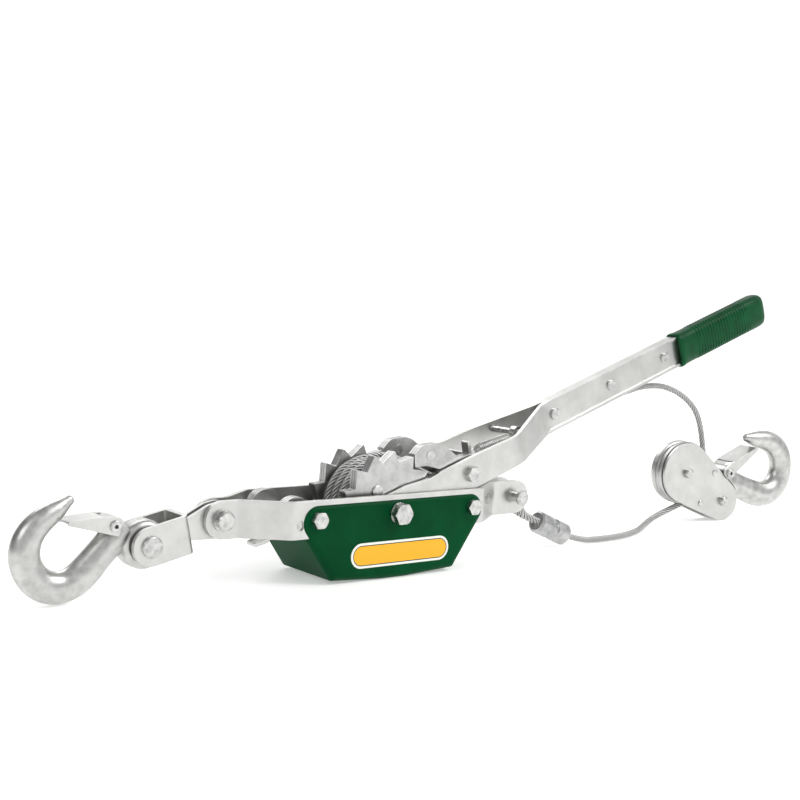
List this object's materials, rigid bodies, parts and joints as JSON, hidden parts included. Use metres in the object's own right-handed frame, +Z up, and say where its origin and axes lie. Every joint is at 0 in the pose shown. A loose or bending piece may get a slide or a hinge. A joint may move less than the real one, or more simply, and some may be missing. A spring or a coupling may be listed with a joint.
{
  "type": "come along winch",
  "caption": "Hand power puller with ratchet drum, raised lever handle, green cover, wire rope through a snatch block, and a latched hook at each end.",
  "frame": {"origin": "on the surface it lies on, at the middle of the flat strip under the cover, straight below the drum axle", "axes": "+X along the pull line towards the snatch block, +Y across the frame away from the bolt heads, +Z up"},
  "size_m": [0.7448, 0.0891, 0.1995],
  "materials": {
    "zinc_steel": "zinc plated",
    "bright_steel": "bright plated",
    "forged_steel": "plated forging",
    "rope_wire": "stranded galvanised wire",
    "ferrule_alloy": "pressed",
    "green_paint": "gloss green powder coat",
    "grip_plastic": "moulded, ribbed",
    "label": "plain, no lettering"
  },
  "bodies": {
    "frame": {"frame_plate_front": "zinc_steel", "frame_plate_back": "zinc_steel", "cover": "green_paint", "cover_label": "label", "cover_bolts": "bright_steel", "cover_nuts": "bright_steel", "cover_spacers": "zinc_steel", "axle_bolt": "bright_steel", "end_nuts": "bright_steel", "axle_washers": "bright_steel", "drum_bush": "zinc_steel", "frame_bolt": "bright_steel", "ear_pin": "bright_steel", "ear_pin_ring": "zinc_steel", "joggle_rivets": "zinc_steel", "pawl_shaft": "zinc_steel", "holding_pawl_spring": "zinc_steel", "rope_eye": "rope_wire", "ferrule": "ferrule_alloy", "wire_rope": "rope_wire", "block_plate_front": "zinc_steel", "block_plate_back": "zinc_steel", "sheave_axle": "bright_steel", "block_hook_pin": "bright_steel", "block_rivets": "zinc_steel"},
    "handle": {"handle_arm_front": "zinc_steel", "handle_arm_back": "zinc_steel", "handle_rivets": "bright_steel", "grip": "grip_plastic", "cross_bolt": "bright_steel", "cross_nut": "bright_steel", "cross_sleeve": "zinc_steel", "spring_eye_pin": "zinc_steel", "pawl_spring": "zinc_steel"},
    "drum": {"ratchet_wheel_front": "zinc_steel", "ratchet_wheel_back": "zinc_steel", "drum_core": "zinc_steel", "rope_winding": "rope_wire", "rope_clamp": "zinc_steel", "drum_rivets": "bright_steel"},
    "drive_pawls": {"drive_pawl_front": "zinc_steel", "drive_pawl_back": "zinc_steel", "pawl_rivets": "zinc_steel", "pawl_link": "zinc_steel"},
    "holding_pawls": {"holding_pawl_front": "zinc_steel", "holding_pawl_back": "zinc_steel", "release_lever": "zinc_steel"},
    "swivel_bracket": {"swivel_bracket": "zinc_steel", "swivel_rivet": "zinc_steel"},
    "hook_shackle": {"hook_shackle": "zinc_steel", "shackle_rivet": "zinc_steel"},
    "anchor_hook": {"anchor_hook": "forged_steel"},
    "anchor_latch": {"anchor_latch": "zinc_steel", "anchor_latch_rivet": "zinc_steel", "anchor_latch_spring": "zinc_steel"},
    "sheave": {"sheave": "zinc_steel"},
    "tail_hook": {"tail_hook": "forged_steel"},
    "tail_latch": {"tail_latch": "zinc_steel", "tail_latch_rivet": "zinc_steel", "tail_latch_spring": "zinc_steel"}
  },
  "joints": [
    {"name": "handle_swing", "type": "hinge", "parent": "frame", "child": "handle", "pos_m": [0, 0, 0.0436], "axis": [0, -1, 0], "range_deg": [0, 96]},
    {"name": "drum_turn", "type": "hinge", "parent": "frame", "child": "drum", "pos_m": [0, 0, 0.0436], "axis": [0, -1, 0], "range_deg": [0, 96]},
    {"name": "drive_pawl_lift", "type": "hinge", "parent": "handle", "child": "drive_pawls", "pos_m": [0.06651, 0, 0.06548], "axis": [0, 1, 0], "range_deg": [0, 25], "stiffness_Nm_per_rad": 0.05, "springref_deg": -20.05, "deforming": ["pawl_spring"]},
    {"name": "holding_pawl_swing", "type": "hinge", "parent": "frame", "child": "holding_pawls", "pos_m": [-0.076, 0, 0.0403], "axis": [0, -1, 0], "range_deg": [0, 7], "stiffness_Nm_per_rad": 0.05, "springref_deg": -11.46},
    {"name": "bracket_swing", "type": "hinge", "parent": "frame", "child": "swivel_bracket", "pos_m": [-0.1193, 0, 0.0436], "axis": [0, 1, 0], "range_deg": [-60, 60]},
    {"name": "shackle_swivel", "type": "hinge", "parent": "swivel_bracket", "child": "hook_shackle", "pos_m": [-0.1193, 0, 0.0436], "axis": [-0.9763, 0, -0.2164], "continuous": true},
    {"name": "anchor_hook_swing", "type": "hinge", "parent": "hook_shackle", "child": "anchor_hook", "pos_m": [-0.17056, 0, 0.03224], "axis": [0, 1, 0], "range_deg": [-60, 60]},
    {"name": "anchor_latch_open", "type": "hinge", "parent": "anchor_hook", "child": "anchor_latch", "pos_m": [-0.19166, 0, 0.04544], "axis": [0, -1, 0], "range_deg": [0, 35], "stiffness_Nm_per_rad": 0.02, "springref_deg": -28.65},
    {"name": "sheave_spin", "type": "hinge", "parent": "frame", "child": "sheave", "pos_m": [0.3624, 0.0382, 0.0434], "axis": [0.1219, 0.9925, 0], "continuous": true},
    {"name": "tail_hook_swing", "type": "hinge", "parent": "frame", "child": "tail_hook", "pos_m": [0.40488, 0.03298, 0.0176], "axis": [-0.1219, -0.9925, 0], "range_deg": [-75, 5]},
    {"name": "tail_latch_open", "type": "hinge", "parent": "tail_hook", "child": "tail_latch", "pos_m": [0.40995, 0.03236, 0.04207], "axis": [0.1219, 0.9925, 0], "range_deg": [0, 35], "stiffness_Nm_per_rad": 0.02, "springref_deg": -28.65}
  ],
  "couplings": [
    {"joint": "drum_turn", "follows": "handle_swing", "ratio": 1}
  ]
}
